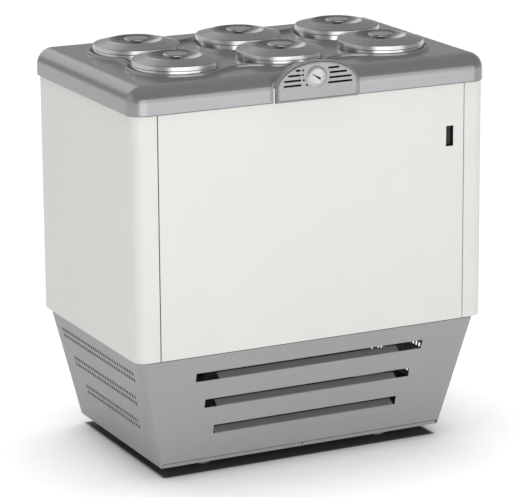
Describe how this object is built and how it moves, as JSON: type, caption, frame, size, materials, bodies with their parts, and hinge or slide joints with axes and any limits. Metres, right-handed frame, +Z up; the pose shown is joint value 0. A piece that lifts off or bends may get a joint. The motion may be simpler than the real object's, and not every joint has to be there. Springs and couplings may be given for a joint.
{
  "type": "ice cream display freezer",
  "caption": "Ice cream counter with round wells in two rows under lift-off steel lids, a white body, a tapered grey louvred base and swivel castors.",
  "frame": {"origin": "middle of the bounding box at the floor, where the castor wheels stand", "axes": "+Z up, -Y towards the front with the thermometer, +X to the right as seen from the front"},
  "size_m": [1.025, 0.6434, 1.0965],
  "materials": {
    "white_paint": "satin",
    "grey_paint": "satin",
    "grey_moulding": "satin",
    "stainless": "brushed",
    "plate_metal": "satin",
    "bezel_chrome": "polished",
    "dial_white": "gloss",
    "needle_black": "satin",
    "clear": "clear",
    "black_plastic": "matte",
    "black_rubber": "matte",
    "wheel_grey": "satin",
    "foam": "matte",
    "copper": "satin",
    "zinc": "satin",
    "aluminium_fins": "satin",
    "black_enamel": "gloss"
  },
  "bodies": {
    "cabinet": {"side_panel_left": "white_paint", "side_panel_right": "white_paint", "front_panel": "white_paint", "rear_panel": "white_paint", "finger_pull": "black_plastic", "uprights": "zinc", "worktop": "grey_moulding", "insulation": "foam", "rim_seals": "black_rubber", "evaporator_jackets": "copper", "thermometer_plate": "plate_metal", "thermometer_case": "black_plastic", "thermometer_dial": "dial_white", "thermometer_glass": "clear", "thermometer_bezel": "bezel_chrome", "base_front": "grey_paint", "base_side_left": "grey_paint", "base_side_right": "grey_paint", "base_rear": "grey_paint", "louvre_blades": "grey_paint", "deck": "zinc", "compressor": "black_enamel", "compressor_feet": "black_rubber", "condenser": "aluminium_fins", "fan_shroud": "black_plastic", "fan_motor": "black_enamel", "filter_drier": "copper", "refrigerant_pipes": "copper", "control_box": "black_plastic", "cable_gland": "black_rubber", "castor_plates": "zinc", "screws": "zinc", "well_1": "stainless", "well_2": "stainless", "well_3": "stainless", "well_4": "stainless", "well_5": "stainless", "well_6": "stainless"},
    "lid_1_body": {"lid_1": "stainless", "knob_1": "stainless"},
    "lid_2_body": {"lid_2": "stainless", "knob_2": "stainless"},
    "lid_3_body": {"lid_3": "stainless", "knob_3": "stainless"},
    "lid_4_body": {"lid_4": "stainless", "knob_4": "stainless"},
    "lid_5_body": {"lid_5": "stainless", "knob_5": "stainless"},
    "lid_6_body": {"lid_6": "stainless", "knob_6": "stainless"},
    "castor_1_swivel": {"castor_fork_1": "zinc"},
    "castor_1_roller": {"castor_wheel_1": "wheel_grey"},
    "castor_2_swivel": {"castor_fork_2": "zinc"},
    "castor_2_roller": {"castor_wheel_2": "wheel_grey"},
    "castor_3_swivel": {"castor_fork_3": "zinc"},
    "castor_3_roller": {"castor_wheel_3": "wheel_grey"},
    "castor_4_swivel": {"castor_fork_4": "zinc"},
    "castor_4_roller": {"castor_wheel_4": "wheel_grey"},
    "fan": {"fan_blades": "aluminium_fins"},
    "needle": {"thermometer_needle": "needle_black"}
  },
  "joints": [
    {"name": "lid_1_lift", "type": "slide", "parent": "cabinet", "child": "lid_1_body", "axis": [0, 0, 1], "range_m": [0, 0.15]},
    {"name": "lid_2_lift", "type": "slide", "parent": "cabinet", "child": "lid_2_body", "axis": [0, 0, 1], "range_m": [0, 0.15]},
    {"name": "lid_3_lift", "type": "slide", "parent": "cabinet", "child": "lid_3_body", "axis": [0, 0, 1], "range_m": [0, 0.15]},
    {"name": "lid_4_lift", "type": "slide", "parent": "cabinet", "child": "lid_4_body", "axis": [0, 0, 1], "range_m": [0, 0.15]},
    {"name": "lid_5_lift", "type": "slide", "parent": "cabinet", "child": "lid_5_body", "axis": [0, 0, 1], "range_m": [0, 0.15]},
    {"name": "lid_6_lift", "type": "slide", "parent": "cabinet", "child": "lid_6_body", "axis": [0, 0, 1], "range_m": [0, 0.15]},
    {"name": "castor_1_turn", "type": "hinge", "parent": "cabinet", "child": "castor_1_swivel", "pos_m": [-0.24, -0.15475, 0.104], "axis": [0, 0, 1], "continuous": true},
    {"name": "castor_1_roll", "type": "hinge", "parent": "castor_1_swivel", "child": "castor_1_roller", "pos_m": [-0.262, -0.15475, 0.0375], "axis": [0, 1, 0], "continuous": true},
    {"name": "castor_2_turn", "type": "hinge", "parent": "cabinet", "child": "castor_2_swivel", "pos_m": [0.24, -0.15475, 0.104], "axis": [0, 0, 1], "continuous": true},
    {"name": "castor_2_roll", "type": "hinge", "parent": "castor_2_swivel", "child": "castor_2_roller", "pos_m": [0.262, -0.15475, 0.0375], "axis": [0, 1, 0], "continuous": true},
    {"name": "castor_3_turn", "type": "hinge", "parent": "cabinet", "child": "castor_3_swivel", "pos_m": [-0.24, 0.22825, 0.104], "axis": [0, 0, 1], "continuous": true},
    {"name": "castor_3_roll", "type": "hinge", "parent": "castor_3_swivel", "child": "castor_3_roller", "pos_m": [-0.262, 0.22825, 0.0375], "axis": [0, 1, 0], "continuous": true},
    {"name": "castor_4_turn", "type": "hinge", "parent": "cabinet", "child": "castor_4_swivel", "pos_m": [0.24, 0.22825, 0.104], "axis": [0, 0, 1], "continuous": true},
    {"name": "castor_4_roll", "type": "hinge", "parent": "castor_4_swivel", "child": "castor_4_roller", "pos_m": [0.262, 0.22825, 0.0375], "axis": [0, 1, 0], "continuous": true},
    {"name": "fan_spin", "type": "hinge", "parent": "cabinet", "child": "fan", "pos_m": [-0.09, -0.06575, 0.206], "axis": [0, 1, 0], "continuous": true},
    {"name": "needle_swing", "type": "hinge", "parent": "cabinet", "child": "needle", "pos_m": [-0.0045, -0.31275, 1.0455], "axis": [0, 1, 0], "range_deg": [-75, 195]}
  ]
}
